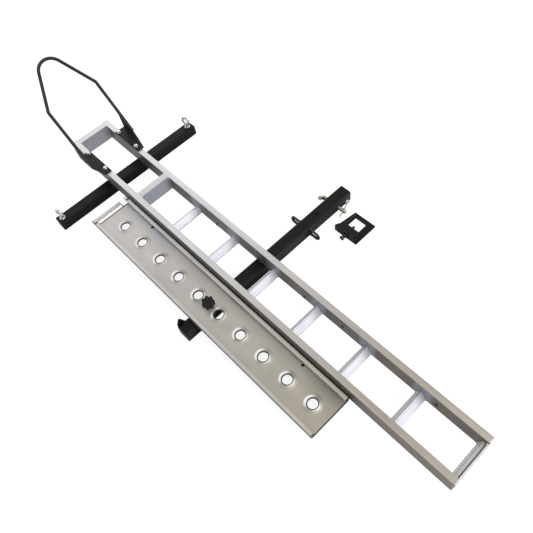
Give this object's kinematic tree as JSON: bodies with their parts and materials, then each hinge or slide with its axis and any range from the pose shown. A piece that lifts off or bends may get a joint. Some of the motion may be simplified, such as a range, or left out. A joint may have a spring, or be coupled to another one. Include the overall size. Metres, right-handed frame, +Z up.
{
  "type": "hitch bike rack",
  "caption": "Hitch-mounted motorcycle carrier: ladder track with a wheel loop, tie-down bar, square hitch bar with pin and clip, stored loading ramp and a loose window bracket.",
  "frame": {"origin": "on the floor under the middle of the whole object's box", "axes": "+X along the track towards the loading end, +Y towards the vehicle, +Z up"},
  "size_m": [2.035, 0.864, 0.43],
  "materials": {
    "rail_aluminium": "mill finish",
    "cap_aluminium": "cut and ground",
    "rung_aluminium": "bright",
    "ramp_aluminium": "satin",
    "black_steel": "satin black powder coat",
    "black_zinc": "black plated",
    "zinc_steel": "zinc plated",
    "pin_steel": "zinc plated",
    "plain_steel": "plain",
    "black_plastic": "moulded"
  },
  "bodies": {
    "carrier": {"rail_near": "rail_aluminium", "rail_far": "rail_aluminium", "end_tube": "rail_aluminium", "stop_tube": "rail_aluminium", "rail_shut_plates": "rail_aluminium", "rail_end_caps": "cap_aluminium", "end_strip": "cap_aluminium", "rung_1": "rung_aluminium", "rung_2": "rung_aluminium", "rung_3": "rung_aluminium", "rung_4": "rung_aluminium", "rung_5": "rung_aluminium", "rung_6": "rung_aluminium", "end_rung": "rung_aluminium", "bracket_near": "black_steel", "bracket_far": "black_steel", "wheel_loop": "black_steel", "tie_bar": "black_steel", "hitch_bar": "black_steel", "bar_end_tab": "black_steel", "chain_loop_left": "black_steel", "chain_loop_right": "black_steel", "bracket_bolts": "zinc_steel", "bracket_washers": "zinc_steel", "tie_bar_bolts": "zinc_steel", "eye_bolt_near": "zinc_steel", "eye_bolt_far": "zinc_steel", "eye_washers": "zinc_steel", "eye_nuts": "zinc_steel", "eye_lock_nuts": "zinc_steel", "hitch_bar_bolts": "zinc_steel", "rail_screws": "zinc_steel", "bracket_strips": "plain_steel", "tie_bar_strips": "plain_steel", "hitch_bar_strips": "plain_steel", "knob_weld_nut": "plain_steel", "tie_bar_plugs": "black_plastic", "hitch_bar_plug": "black_plastic"},
    "ramp": {"ramp_deck": "ramp_aluminium", "ramp_hook": "ramp_aluminium"},
    "knob": {"knob_grip": "black_plastic", "knob_stud": "zinc_steel", "knob_washer": "zinc_steel"},
    "pin": {"hitch_pin": "pin_steel"},
    "clip": {"hitch_clip": "zinc_steel"},
    "window_bracket": {"window_plate": "black_steel", "window_jaw": "black_steel", "clamp_lock_nut": "black_zinc"},
    "clamp": {"clamp_screw": "black_zinc"}
  },
  "joints": [
    {"name": "ramp_lift", "type": "slide", "parent": "carrier", "child": "ramp", "axis": [0, 0, 1], "range_m": [0, 0.25]},
    {"name": "knob_turn", "type": "hinge", "parent": "ramp", "child": "knob", "pos_m": [0.08453, -0.2625, 0.0508], "axis": [0, 0, 1], "continuous": true},
    {"name": "pin_spin", "type": "hinge", "parent": "carrier", "child": "pin", "pos_m": [0.08453, 0.362, 0.0254], "axis": [1, 0, 0], "continuous": true},
    {"name": "clip_pull", "type": "slide", "parent": "pin", "child": "clip", "axis": [0, 0.6428, 0.766], "range_m": [0, 0.06]},
    {"name": "bracket_lift", "type": "slide", "parent": "carrier", "child": "window_bracket", "axis": [0, 0, 1], "range_m": [0, 0.2]},
    {"name": "clamp_turn", "type": "hinge", "parent": "window_bracket", "child": "clamp", "pos_m": [0.21193, 0.289, 0.0153], "axis": [0, 1, 0], "continuous": true}
  ]
}
